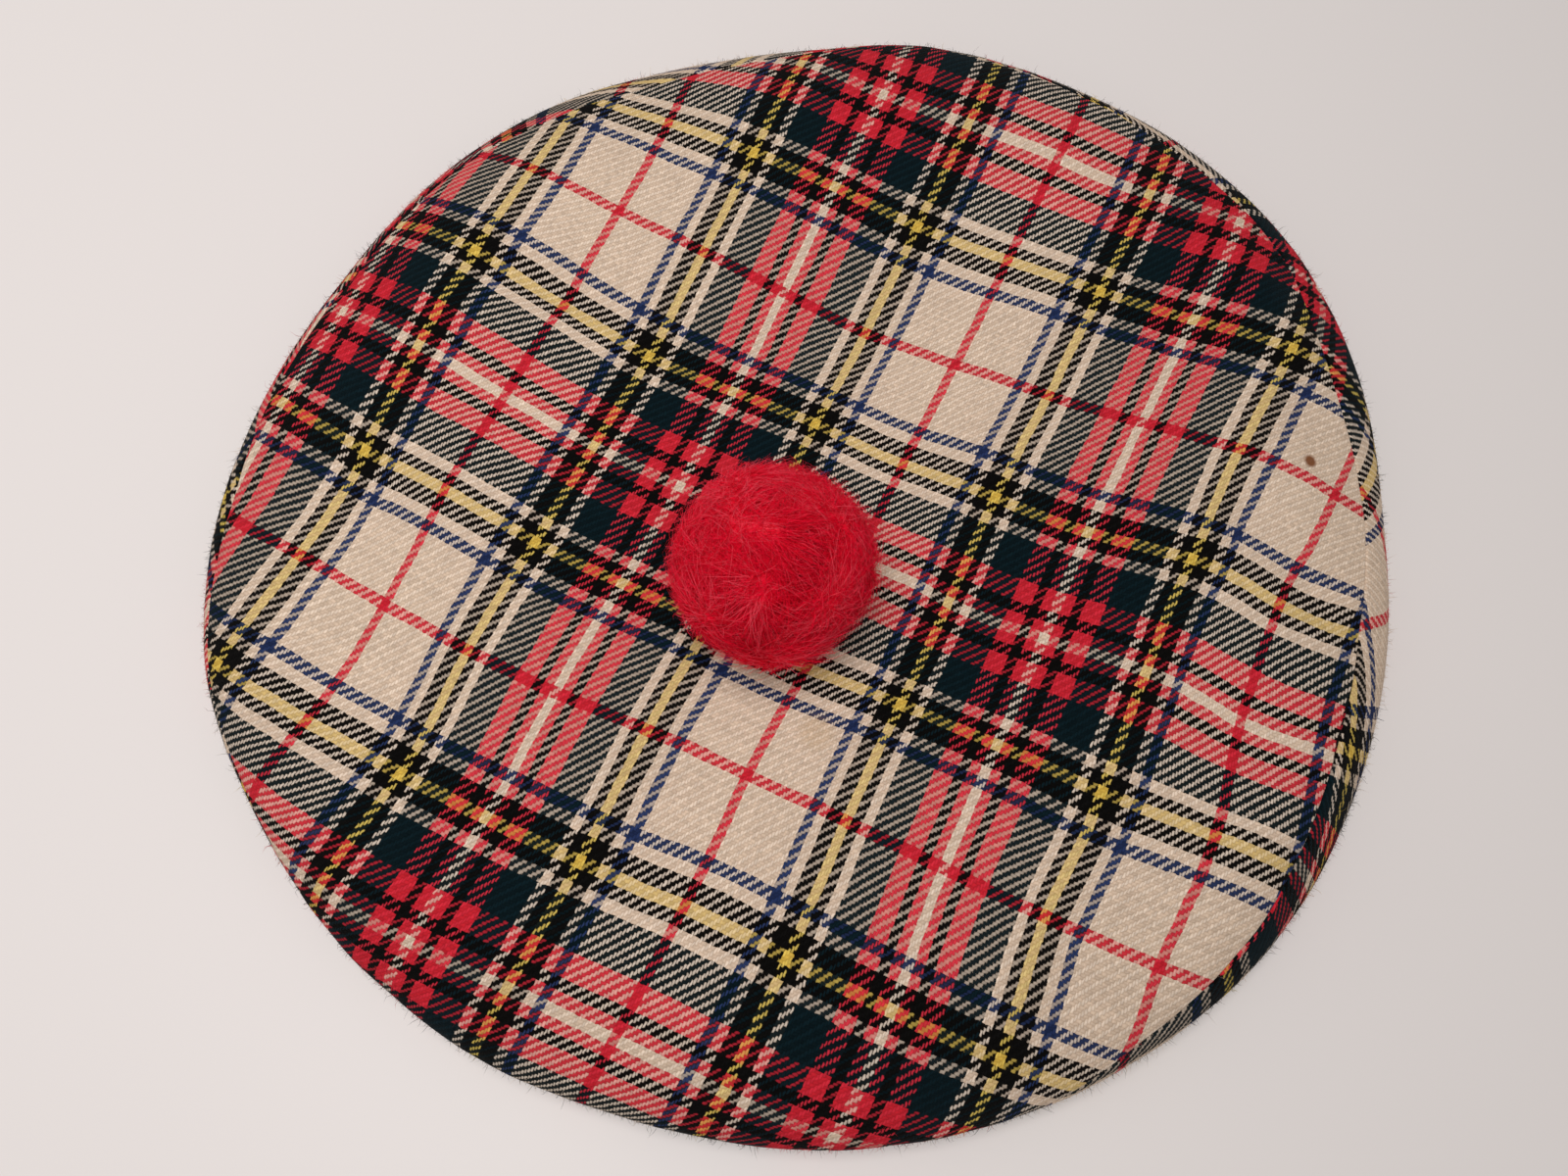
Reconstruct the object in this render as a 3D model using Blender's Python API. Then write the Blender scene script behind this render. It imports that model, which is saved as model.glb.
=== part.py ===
"""Tam o' shanter of tartan wool cloth, with a wool pompom, lying flat on its headband.

The round top and the ring below it share one section, which runs from the middle of the top, over the
rim and under it to the headband. They are sewn together near the rim. +Z is up and +Y points to the far
side. The origin is on the surface that the hat lies on, below the middle of its outline. Driving
dimensions are in millimetres, and the model is in metres.
"""

import math
import random

import bmesh
import bpy
from mathutils import Vector

MM = 0.001

CLOTH = 1.5
CLEARANCE = 0.3
SEAM_GAP = 0.45
HEM = 0.8
WELD = 0.01
SPOKES = 64
TOP_RINGS = 17
UNDERSIDE_RINGS = 11
SECTION_STEPS = 12
# Rings stand closer together towards the rim on the top, and towards the seam on the underside.
TOP_CROWDING = 1.3
UNDERSIDE_CROWDING = 1.15

# Head opening: 90 mm is the outer radius of the band, for a head of about 55 cm.
BAND_RADIUS = 90.0
BAND_WALL = 2.0
BAND_HEIGHT = 23.8
BAND_RINGS = 3

# The rim, seen from above. "reach" is the outline's distance from the origin, "seam" is how far the
# seam lies above the widest line, along the cloth, and "lift" raises or lowers the rim.
RIM_COLUMNS = ("azimuth", "reach", "seam", "lift")
RIM = (
    (0, 140.0, 13.5, 0.3),
    (15, 144.0, 18.0, 0.8),
    (30, 147.0, 14.0, 1.0),
    (45, 146.5, 14.0, 0.6),
    (60, 144.0, 9.5, 0.2),
    (75, 142.0, 6.0, 0.0),
    (90, 136.0, 11.0, -0.2),
    (105, 134.0, 15.5, 0.0),
    (120, 135.0, 16.0, 0.3),
    (135, 134.5, 11.0, 0.5),
    (150, 133.5, 10.5, 0.4),
    (165, 136.0, 9.0, 0.2),
    (180, 140.0, 10.0, 0.0),
    (195, 142.5, 4.5, -0.2),
    (210, 140.5, 2.0, -0.3),
    (225, 139.5, -1.5, 0.0),
    (240, 138.5, -4.0, 0.2),
    (255, 137.0, -5.0, 0.3),
    (270, 138.0, -5.0, 0.2),
    (285, 139.0, -3.0, 0.1),
    (300, 140.0, 6.0, 0.0),
    (315, 141.0, 10.5, 0.2),
    (330, 140.5, 15.5, 0.4),
    (345, 140.0, 15.5, 0.2),
)

# Outer face of the top, as (out, height) rows: "out" is the share of the rim's reach, and the last row
# is the widest line.
TOP_SECTION = (
    (0.00, 27.7),
    (0.35, 28.0),
    (0.70, 27.6),
    (0.82, 25.0),
    (0.92, 19.4),
    (0.975, 14.0),
    (1.00, 8.6),
)

# Outer face of the underside, as (out, height) rows: "out" is the share of the way from the headband to
# the widest line.
UNDERSIDE_SECTION = (
    (0.975, 4.4),
    (0.90, 2.6),
    (0.74, 5.2),
    (0.40, 14.0),
    (0.12, 20.6),
    (0.00, 23.0),
)

# Soft dents (negative lift) and swells (positive lift) of the top. "heading" is the way a fold runs.
FOLD_COLUMNS = ("x", "y", "heading", "half_length", "half_width", "lift")
FOLDS = (
    (-62, 53, -16, 20, 6.5, -1.9),
    (-67, 41, -20, 24, 9.0, 0.8),
    (-87, 59, -60, 16, 8.0, 0.9),
    (-19, 33, -22, 26, 10.0, -0.5),
    (113, -22, -50, 15, 5.5, -2.0),
    (113, 2, -70, 18, 9.0, 0.9),
    (113, 51, -60, 30, 8.0, 1.6),
    (101, -75, 53, 34, 13.0, 3.0),
    (-100, -61, 120, 30, 12.0, 1.2),
    (21, -113, 10, 34, 12.0, 1.4),
)
# Lengths of cloth over which a fold dies out above the widest line, and the rim's lift on both sides.
FOLD_FADE = 14.0
LIFT_FADE = 34.0

# The pompom is a round head with a tapering lock on each of its faces. "RISE" is the height of its
# middle above its seat. The locks' taper, stray and shortest length are shares of their full size.
POMPOM_PLACE = (-6.0, -22.3)
POMPOM_RADIUS = 20.5
POMPOM_HEAD = 12.5
POMPOM_RISE = 17.6
SEAT_SAMPLES = 12
LOCK_TAPER = 0.80
LOCK_STRAY = 0.07
LOCK_SHORTEST = 0.93
LOCK_SEED = 11


def smooth(share):
    """0 to 1 with level ends."""
    share = min(max(share, 0.0), 1.0)
    return share * share * (3 - 2 * share)


def between(four, share):
    """Catmull-Rom value between the middle two of four values."""
    a, b, c, d = four
    slope = c - a
    bend = 2 * a - 5 * b + 4 * c - d
    twist = 3 * b - 3 * c + d - a
    return b + 0.5 * share * (slope + share * (bend + share * twist))


def rim_value(column, azimuth):
    """A column of RIM at any azimuth in degrees, on a smooth closed curve."""
    index = RIM_COLUMNS.index(column)
    place = azimuth % 360.0 / (360.0 / len(RIM))
    row = int(place)
    four = [RIM[(row + step) % len(RIM)][index] for step in (-1, 0, 1, 2)]
    return between(four, place - row)


def section_rows(azimuth):
    """The rows of the whole section as (radius, height), from the middle of the top to the headband."""
    reach = rim_value("reach", azimuth)
    inner = BAND_RADIUS + CLEARANCE
    top = [(out * reach, height) for out, height in TOP_SECTION]
    below = [(inner + out * (reach - inner), height) for out, height in UNDERSIDE_SECTION]
    return top + below


def section_curve(azimuth):
    """The section as fine points (radius, height), each with its length of cloth from the middle.

    Also returns the length at the widest line.
    """
    rows = section_rows(azimuth)
    ends = [rows[0]] + rows + [rows[-1]]
    # The curve crosses the axis level, so the row before the middle mirrors the one after it.
    ends[0] = (-rows[1][0], rows[1][1])
    points = []
    for row in range(len(rows) - 1):
        for step in range(SECTION_STEPS):
            share = step / SECTION_STEPS
            radius = between([end[0] for end in ends[row : row + 4]], share)
            height = between([end[1] for end in ends[row : row + 4]], share)
            points.append((radius, height))
    points.append(rows[-1])
    lengths = [0.0]
    for before, after in zip(points, points[1:]):
        lengths.append(lengths[-1] + math.dist(before, after))
    widest = lengths[(len(TOP_SECTION) - 1) * SECTION_STEPS]
    return points, lengths, widest


def fold_lift(x, y):
    """The height that the folds add at a place on the top."""
    total = 0.0
    for row in FOLDS:
        fold = dict(zip(FOLD_COLUMNS, row))
        heading = math.radians(fold["heading"])
        east = x - fold["x"]
        north = y - fold["y"]
        along = east * math.cos(heading) + north * math.sin(heading)
        across = north * math.cos(heading) - east * math.sin(heading)
        spread = (along / fold["half_length"]) ** 2 + (across / fold["half_width"]) ** 2
        total += fold["lift"] * math.exp(-spread)
    return total


class Spoke:
    """The hat's section in one direction."""

    def __init__(self, azimuth):
        self.azimuth = math.radians(azimuth)
        self.points, self.lengths, self.widest = section_curve(azimuth)
        self.seam = self.widest - rim_value("seam", azimuth)
        self.end = self.lengths[-1]
        self.lift = rim_value("lift", azimuth)

    def at(self, length):
        """The outer face's point at a length of cloth from the middle of the top."""
        index = 1
        while index < len(self.lengths) - 1 and self.lengths[index] < length:
            index += 1
        start = self.lengths[index - 1]
        share = (length - start) / (self.lengths[index] - start)
        before, after = self.points[index - 1], self.points[index]
        radius = before[0] + share * (after[0] - before[0])
        height = before[1] + share * (after[1] - before[1])
        x = radius * math.cos(self.azimuth)
        y = radius * math.sin(self.azimuth)
        height += fold_lift(x, y) * smooth((self.widest - length) / FOLD_FADE)
        height += self.lift * smooth(1 - abs(self.widest - length) / LIFT_FADE)
        return Vector((x, y, height)) * MM


def material(name, colour, roughness):
    """A Principled material with one colour."""
    made = bpy.data.materials.new(name)
    made.use_nodes = True
    shader = made.node_tree.nodes["Principled BSDF"]
    shader.inputs["Base Color"].default_value = (*colour, 1.0)
    shader.inputs["Roughness"].default_value = roughness
    shader.inputs["Metallic"].default_value = 0.0
    made.diffuse_color = (*colour, 1.0)
    return made


def put_in_scene(name, mesh_data, made_of):
    """Makes the object of a finished bmesh, shaded smooth."""
    mesh = bpy.data.meshes.new(name)
    mesh_data.to_mesh(mesh)
    mesh_data.free()
    mesh.shade_smooth()
    mesh.materials.append(made_of)
    piece = bpy.data.objects.new(name, mesh)
    bpy.context.scene.collection.objects.link(piece)
    return piece


def wrapped_sheet(name, rings, place, wall, made_of):
    """A flat grid wrapped round the axis and given a wall on its inner side.

    place(spoke, ring) gives the point for a spoke's number and a ring's, from 0 to rings. The grid's
    first and last spokes meet and are merged, and so is a ring that is one point.
    """
    sheet = bmesh.new()
    bmesh.ops.create_grid(sheet, x_segments=SPOKES, y_segments=rings, size=0.5)
    for vert in sheet.verts:
        spoke = round((vert.co.x + 0.5) * SPOKES)
        ring = round((vert.co.y + 0.5) * rings)
        vert.co = place(-spoke % SPOKES, ring)
    bmesh.ops.remove_doubles(sheet, verts=sheet.verts, dist=WELD * MM)
    piece = put_in_scene(name, sheet, made_of)
    thickness = piece.modifiers.new("wall", "SOLIDIFY")
    thickness.thickness = wall * MM
    thickness.offset = -1.0
    thickness.use_even_offset = True
    thickness.use_rim = True
    return piece


def make_crown_top(spokes, wool):
    """The top: a disc of cloth from its middle to the seam, with a narrow hem as its last ring."""

    def place(number, ring):
        spoke = spokes[number]
        edge = spoke.seam - SEAM_GAP / 2
        if ring == TOP_RINGS:
            return spoke.at(edge)
        out = 1 - (1 - ring / (TOP_RINGS - 1)) ** TOP_CROWDING
        return spoke.at(out * (edge - HEM))

    return wrapped_sheet("crown_top", TOP_RINGS, place, CLOTH, wool)


def make_crown_underside(spokes, wool):
    """The ring below the rim, in to the headband, with a narrow hem at the seam as its first ring."""

    def place(number, ring):
        spoke = spokes[number]
        edge = spoke.seam + SEAM_GAP / 2
        if ring == 0:
            return spoke.at(edge)
        inward = ((ring - 1) / (UNDERSIDE_RINGS - 1)) ** UNDERSIDE_CROWDING
        return spoke.at(edge + HEM + inward * (spoke.end - edge - HEM))

    return wrapped_sheet("crown_underside", UNDERSIDE_RINGS, place, CLOTH, wool)


def make_headband(tape):
    """The upright band round the head opening, whose lower edge is what the hat stands on."""

    def place(number, ring):
        angle = math.tau * number / SPOKES
        height = (1 - ring / BAND_RINGS) * BAND_HEIGHT
        return Vector((BAND_RADIUS * math.cos(angle), BAND_RADIUS * math.sin(angle), height)) * MM

    return wrapped_sheet("headband", BAND_RINGS, place, BAND_WALL, tape)


def height_of_top(x, y, spokes):
    """The height of the top's outer face above a place near its middle, in millimetres."""
    number = round(math.degrees(math.atan2(y, x)) % 360.0 / 360.0 * SPOKES) % SPOKES
    return spokes[number].at(math.hypot(x, y)).z / MM


def make_pompom(spokes, yarn):
    """A ball of tapering locks on a small round head, flattened where it sits on the top."""
    x, y = POMPOM_PLACE
    seat = CLEARANCE + max(
        height_of_top(x + POMPOM_HEAD * math.cos(turn), y + POMPOM_HEAD * math.sin(turn), spokes)
        for turn in [math.tau * step / SEAT_SAMPLES for step in range(SEAT_SAMPLES)]
    )
    rng = random.Random(LOCK_SEED)
    ball = bmesh.new()
    bmesh.ops.create_icosphere(ball, subdivisions=3, radius=POMPOM_HEAD)
    locks = bmesh.ops.extrude_discrete_faces(ball, faces=ball.faces)["faces"]
    for lock in locks:
        way = lock.calc_center_median().normalized()
        reach = POMPOM_RADIUS * rng.uniform(LOCK_SHORTEST, 1.0)
        if way.z < 0:
            reach = min(reach, POMPOM_RISE / -way.z)
        stray = Vector([rng.uniform(-LOCK_STRAY, LOCK_STRAY) for _ in range(3)])
        for vert in lock.verts:
            spread = (vert.co.normalized() - way) * LOCK_TAPER + way + stray * LOCK_TAPER
            vert.co = spread.normalized() * reach
            vert.co.z = max(vert.co.z, -POMPOM_RISE)
    for vert in ball.verts:
        vert.co = (vert.co + Vector((x, y, seat + POMPOM_RISE))) * MM
    return put_in_scene("pompom", ball, yarn)


def main():
    for old in list(bpy.data.objects):
        bpy.data.objects.remove(old, do_unlink=True)
    wool = material("tartan wool twill", (0.36, 0.22, 0.17), 0.9)
    tape = material("black ribbed tape", (0.012, 0.012, 0.014), 0.8)
    yarn = material("brushed red wool", (0.58, 0.01, 0.025), 0.95)
    spokes = [Spoke(360.0 * number / SPOKES) for number in range(SPOKES)]
    make_crown_top(spokes, wool)
    make_crown_underside(spokes, wool)
    make_headband(tape)
    make_pompom(spokes, yarn)


main()
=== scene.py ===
"""The looks of a tam o' shanter of tartan wool with a brushed wool pompom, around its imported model.

The top and the ring below it follow the section of the CAD model, as fine sheets whose edges turn in
at the seam. The tartan is drawn on the flat cloth, in millimetres, and wraps over the rim with it. The
pompom is a lumpy heart under three coats of curved fibres. Lengths are in millimetres until a mesh is
made.
"""

import math

import bpy
import numpy as np
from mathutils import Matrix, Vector, noise


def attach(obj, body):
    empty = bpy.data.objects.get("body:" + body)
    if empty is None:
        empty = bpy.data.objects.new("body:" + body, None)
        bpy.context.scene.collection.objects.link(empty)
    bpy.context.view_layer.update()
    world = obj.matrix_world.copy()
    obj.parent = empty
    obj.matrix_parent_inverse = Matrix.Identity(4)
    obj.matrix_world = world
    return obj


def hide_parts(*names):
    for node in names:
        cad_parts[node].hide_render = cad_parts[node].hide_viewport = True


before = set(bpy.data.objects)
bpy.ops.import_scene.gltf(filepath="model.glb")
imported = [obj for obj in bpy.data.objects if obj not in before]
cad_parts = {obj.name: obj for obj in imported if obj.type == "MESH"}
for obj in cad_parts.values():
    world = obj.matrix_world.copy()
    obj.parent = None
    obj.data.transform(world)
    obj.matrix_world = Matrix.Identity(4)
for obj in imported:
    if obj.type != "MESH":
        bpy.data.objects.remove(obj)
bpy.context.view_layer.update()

MM = 0.001
# Keeps logarithms and divisions away from zero.
TINY = 1e-9
# Keeps the sides of a spike off zero where it points away from the origin.
OFF_LINE = 0.01
# Points closer than this are one.
SAME_PLACE = 0.001
# Every use of the noise has a seed of its own, which moves it by this much.
NOISE_STEP = (17.3, 9.1, 5.7)

# The shape of the hat, as in the CAD source.
CLEARANCE = 0.3
BAND_RADIUS = 90.0
BAND_HEIGHT = 23.8
RIM_COLUMNS = ("azimuth", "reach", "seam", "lift")
RIM = (
    (0, 140.0, 13.5, 0.3),
    (15, 144.0, 18.0, 0.8),
    (30, 147.0, 14.0, 1.0),
    (45, 146.5, 14.0, 0.6),
    (60, 144.0, 9.5, 0.2),
    (75, 142.0, 6.0, 0.0),
    (90, 136.0, 11.0, -0.2),
    (105, 134.0, 15.5, 0.0),
    (120, 135.0, 16.0, 0.3),
    (135, 134.5, 11.0, 0.5),
    (150, 133.5, 10.5, 0.4),
    (165, 136.0, 9.0, 0.2),
    (180, 140.0, 10.0, 0.0),
    (195, 142.5, 4.5, -0.2),
    (210, 140.5, 2.0, -0.3),
    (225, 139.5, -1.5, 0.0),
    (240, 138.5, -4.0, 0.2),
    (255, 137.0, -5.0, 0.3),
    (270, 138.0, -5.0, 0.2),
    (285, 139.0, -3.0, 0.1),
    (300, 140.0, 6.0, 0.0),
    (315, 141.0, 10.5, 0.2),
    (330, 140.5, 15.5, 0.4),
    (345, 140.0, 15.5, 0.2),
)
# Outer face of the top: share of the rim's reach, and height. The last row is the widest line.
TOP_SECTION = (
    (0.00, 27.7),
    (0.35, 28.0),
    (0.70, 27.6),
    (0.82, 25.0),
    (0.92, 19.4),
    (0.975, 14.0),
    (1.00, 8.6),
)
# Outer face of the underside: share of the way from the headband to the widest line, and height.
UNDERSIDE_SECTION = (
    (0.975, 4.4),
    (0.90, 2.6),
    (0.74, 5.2),
    (0.40, 14.0),
    (0.12, 20.6),
    (0.00, 23.0),
)
SECTION_STEPS = 12
FOLD_COLUMNS = ("x", "y", "heading", "half_length", "half_width", "lift")
FOLDS = (
    (-62, 53, -16, 20, 6.5, -1.9),
    (-67, 41, -20, 24, 9.0, 0.8),
    (-87, 59, -60, 16, 8.0, 0.9),
    (-19, 33, -22, 26, 10.0, -0.5),
    (113, -22, -50, 15, 5.5, -2.0),
    (113, 2, -70, 18, 9.0, 0.9),
    (113, 51, -60, 30, 8.0, 1.6),
    (101, -75, 53, 34, 13.0, 3.0),
    (-100, -61, 120, 30, 12.0, 1.2),
    (21, -113, 10, 34, 12.0, 1.4),
)
FOLD_FADE = 14.0
LIFT_FADE = 34.0

# The sheets. Their wall is a little thinner than the CAD cloth's, whose outer face they share. The edge
# turns in at the seam with SEAM_ROUND. Rings lie closer together towards the crowded end of a sheet.
SPOKES = 384
CLOTH = 1.4
SEAM_GAP = 0.06
SEAM_ROUND = 0.7
SEAM_TURN_STEPS = 5
TOP_RINGS = 66
TOP_CROWDING = 1.15
UNDERSIDE_RINGS = 26
UNDERSIDE_CROWDING = 1.1
NORMAL_REACH = 0.6
# The stitches draw the cloth in for this far from the seam, in puckers of about this length.
PUCKER = 0.32
PUCKER_REACH = 9.0
PUCKER_LENGTH = 11.0
PUCKER_SQUASH = (1, 1, 0.3)
PUCKER_SEED = 1
# The loose middle of the cloth lies in low waves.
WAVE = 0.22
WAVE_LENGTH = 34.0
WAVE_SEED = 2
# How a flat disc of cloth fits in the square map of the bake.
DISC_SHARE = 0.49

# Where lines of the tartan cross on the top, as read off the photo: the numbers of a warp and a weft
# thread, and the place of their crossing on the flat disc. The cloth was drawn aside in making, so that
# the lines bend a little.
CROSSING_COLUMNS = ("warp", "weft", "x", "y")
CROSSINGS = (
    (-258, 44, -101.7, 77.0),
    (-258, 86, -112.3, 50.6),
    (-258, 128, -124.9, 26.3),
    (-216, 142, -102.3, 1.3),
    (-216, 172, -112.0, -14.3),
    (-216, 216, -133.9, -37.7),
    (-202, 0, -58.8, 82.4),
    (-202, 30, -67.2, 66.4),
    (-172, -72, -27.6, 122.2),
    (-172, -44, -32.8, 100.0),
    (-172, 128, -80.2, 0.4),
    (-172, 202, -100.1, -44.3),
    (-172, 244, -122.6, -66.1),
    (-142, 216, -90.6, -59.9),
    (-128, -86, 0.7, 124.3),
    (-128, 0, -23.2, 61.8),
    (-128, 44, -35.2, 33.8),
    (-128, 128, -59.0, -12.1),
    (-128, 172, -72.2, -36.7),
    (-128, 258, -105.2, -87.8),
    (-100, -100, 18.7, 126.9),
    (-86, -86, 21.3, 108.2),
    (-86, -44, 8.6, 79.9),
    (-61, -111, 42.4, 125.7),
    (-44, 0, 15.3, 39.8),
    (-44, 44, 3.5, 16.7),
    (-30, 172, -26.0, -56.8),
    (-30, 202, -34.7, -75.6),
    (-30, 258, -53.5, -109.8),
    (0, -100, 70.1, 102.1),
    (0, 44, 23.1, 6.5),
    (0, 128, 1.0, -40.7),
    (0, 202, -19.6, -81.4),
    (30, -86, 78.7, 81.6),
    (30, -30, 60.1, 45.1),
    (30, 30, 41.4, 9.5),
    (30, 86, 26.0, -22.2),
    (30, 142, 10.7, -53.4),
    (44, 0, 57.2, 23.7),
    (44, 86, 32.0, -26.1),
    (72, 244, 2.4, -125.4),
    (86, -86, 110.2, 74.7),
    (86, -44, 92.8, 43.5),
    (86, 44, 63.7, -9.8),
    (86, 128, 41.0, -57.3),
    (100, 244, 18.3, -132.8),
    (128, 0, 100.0, 10.5),
    (128, 142, 58.4, -75.5),
    (142, -44, 125.1, 35.3),
    (142, 44, 93.1, -18.7),
    (142, 86, 80.4, -44.4),
    (142, 172, 56.2, -95.2),
    (172, 0, 123.3, 1.2),
    (172, 44, 104.9, -26.1),
    (172, 86, 93.1, -52.3),
    (172, 128, 85.6, -76.2),
    (172, 172, 73.4, -102.6),
    (172, 202, 68.3, -122.9),
    (202, 44, 124.6, -31.4),
    (202, 128, 104.2, -83.5),
)
CROSSING_GIVE = 5.0
# The grain of the underside's cloth, and the middle of one of its cream squares.
UNDERSIDE_GRAIN = 140.5
UNDERSIDE_MIDDLE = (79.8, 58.5)
WARP_PITCH = 0.521
WEFT_PITCH = 0.638
# The sett is mirrored at its thread 0 and at HALF_SETT. Each row is the first thread of a stripe.
HALF_SETT = 86
SETT = (
    (0, "red"),
    (2, "cream"),
    (28, "blue"),
    (32, "cream"),
    (36, "black"),
    (42, "yellow"),
    (46, "black"),
    (50, "cream"),
    (54, "green"),
    (68, "red"),
    (76, "black"),
    (80, "red"),
    (84, "cream"),
)
# The dyes, as sRGB hex digits.
YARN = {
    "red": "D93245",
    "cream": "E8D9C9",
    "blue": "2A3B68",
    "black": "0D0C0C",
    "yellow": "E3C965",
    "green": "0A2129",
}

# Yarns wander slowly from their line and have uneven edges: the reach of either noise, of which about a
# quarter shows to each side, its length, and its detail.
WANDERS = (
    (0.6, 9.0, 1.0),
    (0.5, 0.9, 2.0),
)
# How far the beads of a yarn run together into a rope, and the share of its light that comes off the yarn
# below. The weft lies deeper than the warp.
WARP_RUN = 0.12
WEFT_RUN = 0.45
WARP_BOUNCE = 0.25
WEFT_BOUNCE = 0.44
# The form of a float: small powers make its ends and its top blunt. WALE is how high the slanting wales
# rise, as a share of a float.
BLUNT_ENDS = 0.45
BLUNT_TOP = 0.6
WALE = 0.22
YARN_RISE = 0.16
BUMP_STRENGTH = 0.7
# WARMTH is how much of a pale yarn's colour falls on yarns with less blue than DULL_BLUE. TINGE is how
# much of a red yarn's colour shows in a pale one above it, as painted light that comes up through the pale
# yarn.
DULL_BLUE = 0.03
WARMTH = 0.45
TINGE = 0.7
# Over this span of rise a float comes out of the dark beside it. Its girth grows with the green in its
# colour, because pale yarns are spun thicker than red and dark ones, and with the red of both yarns.
BARE = (0.04, 0.55)
PALE_GIRTH = 0.25
THINNED = -0.2
RED_GIRTH = 0.4
# The hairs on the yarn lie about this far apart. Real ones are finer, and these are coarse enough to
# show. The span of the noise in which they thicken, and the share of their grey where they are thickest.
# The grey specks stand both for the hairs and for painted sheen on the floats.
HAIR_LENGTH = 0.35
HAIR_SPAN = (0.35, 0.75)
HAIR_AND_SHEEN_SHARE = 0.004
# The rise, from the valleys at 0, at which the weave loses its shade.
SHADE_TOP = 1.2
# No two lengths of yarn and no two floats took the dye alike, by these shares. Warps count on from here,
# so that they differ from the wefts of the same number.
UNEVEN_YARN = 0.09
UNEVEN_FLOAT = 0.1
WARP_COUNT_FROM = 997.0

STAIN_COLUMNS = ("x", "y", "radius", "share", "colour")
STAINS = (
    (116.9, 8.6, 1.7, 0.95, "744424"),
    (3.0, -54.6, 4.0, 0.18, "B08A4A"),
)
STAIN_EDGE = (0.6, 1.15)

# The nap: short loose hairs round the rim, where they show against what lies behind. A real hair is
# 0.03 mm thick. These are drawn a little coarser, so that they show.
NAP_SEED = 11
NAP_ON_SPOKE = 26
NAP_SPREAD = 4.5
NAP_RADIUS = 0.055
NAP_THICKNESS = (0.6, 1.1)
NAP_LONGEST = 1.7
NAP_SHARE = (0.15, 1.0)
NAP_SHORTNESS = 1.5
NAP_ROOT = 0.3
# How far the bend and the tip of a hair rise and stray, as shares of its length.
NAP_BEND = (0.5, 0.25)
NAP_TIP = (0.6, 0.55)
NAP_STATIONS = (0.0, 0.55)
NAP_TAPER = (1.0, 0.7)
NAP_FLOOR = 0.3
# Where hairs are pressed on a flat face, their points still stand apart by this much.
PRESSED_STEP = 0.05
# For the bake, each hair has a small patch of its own, of steps this wide, near its place on the disc.
PATCH_STEPS = (0.25, 0.2)
PATCH_MARGIN = 2

# The headband: a tape folded at its lower edge.
BAND_WALL = 1.7
BAND_ROWS = 12
BAND_FOLD_STEPS = 6
BAND_WAVE = 0.25
BAND_WAVE_LENGTH = 24.0
BAND_WAVE_SEED = 3
TAPE_RIB = 1.1
TAPE_RISE = 0.1

# The pompom: a heart under fibres that rise from it, bend over and lie in swirls.
POMPOM_MIDDLE = (-6.0, -23.4, 46.0)
POMPOM_SQUASH = (1.0, 0.93, 1.0)
POMPOM_RADIUS = 20.9
POMPOM_FLOOR = 28.6
POMPOM_HEART = 18.4
POMPOM_SEED = 7
LUMP = 0.21
LUMP_LENGTH = 10.0
LUMP_SEED = 4
# The heart's seat stays this far above that of the fibres, and its face is rough in grains of this length.
HEART_CLEAR = 0.4
HEART_ROUGH = 0.03
HEART_GRAIN = 1.6
HEART_SEED = 5
SWIRLS = 90
SWIRL_REACH = 0.21
CLUMPS = 240
FIBRE_COATS = 3
FIBRES_IN_COAT = 12000
# A real fibre is 0.03 mm thick. These are drawn as coarse as they need to be to show.
FIBRE_RADIUS = 0.06
FIBRE_THICKNESS = (0.7, 1.2)
FIBRE_STATIONS = (0.0, 0.4, 0.75)
FIBRE_TAPER = (1.0, 0.9, 0.6)
FIBRE_ROOT = 0.6
FIBRE_SAG = 0.3
FIBRE_RISE = (1.0, 2.5)
LOOSE_SHARE = 0.2
LOOSE_RISE = (0.3, 2.1)
# How fibres lean: round the middle of their swirl, to the middle of their clump, and each its own way.
SWIRL_LEAN = 0.7
CLUMP_LEAN = 0.1
STRAY_LEAN = 0.45
TIP_LEAN = (0.35, 1.0)
BEND_LEAN = 0.25
BEND_STRAY = 0.09
# The tint from 0, deep in the wool, to 1, at its lightest: what the lumps, the clump and the fibre give.
# The clump and the fibre give tint at random; the lumps give painted shade in their hollows and painted
# light on their swells, and a fibre's end is painted lighter than its root.
HEART_TINT = 0.45
HEART_LUMP_SHADE = 3.5
HEART_GRAIN_SHADE = 4.0
CLUMP_TINT = (0.25, 0.75)
FIBRE_TINT = (-0.4, 0.4)
LUMP_SHADE = 1.2
END_LIGHT = 0.15

# The camera stands 17 degrees off the vertical, as in the photo, with a 27 mm lens on a 36 mm sensor.
CAMERA_PLACE = (-3.83, -98.09, 274.4)
CAMERA_TILT = 17.0
CAMERA_LENS = 27.0
CAMERA_SENSOR = 36.0
# The lamp with the point that it aims at, the room's own light and the floor, in metres and watts.
LAMP_PLACE = (-0.2, 0.0, 1.1)
LAMP_AIM = (-0.8, 0.4, 0.0)
LAMP_WIDTH = 0.8
LAMP_POWER = 11.0
ROOM_LIGHT = 0.38
FLOOR_WIDTH = 4.0


def smooth(share):
    """0 to 1 with level ends."""
    share = np.clip(share, 0.0, 1.0)
    return share * share * (3 - 2 * share)


def between(four, share):
    """Catmull-Rom value between the middle two of four values."""
    a, b, c, d = four
    slope = c - a
    bend = 2 * a - 5 * b + 4 * c - d
    twist = 3 * b - 3 * c + d - a
    return b + 0.5 * share * (slope + share * (bend + share * twist))


def unit(vectors):
    """Vectors at length one."""
    return vectors / np.maximum(np.linalg.norm(vectors, axis=-1, keepdims=True), TINY)


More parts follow.
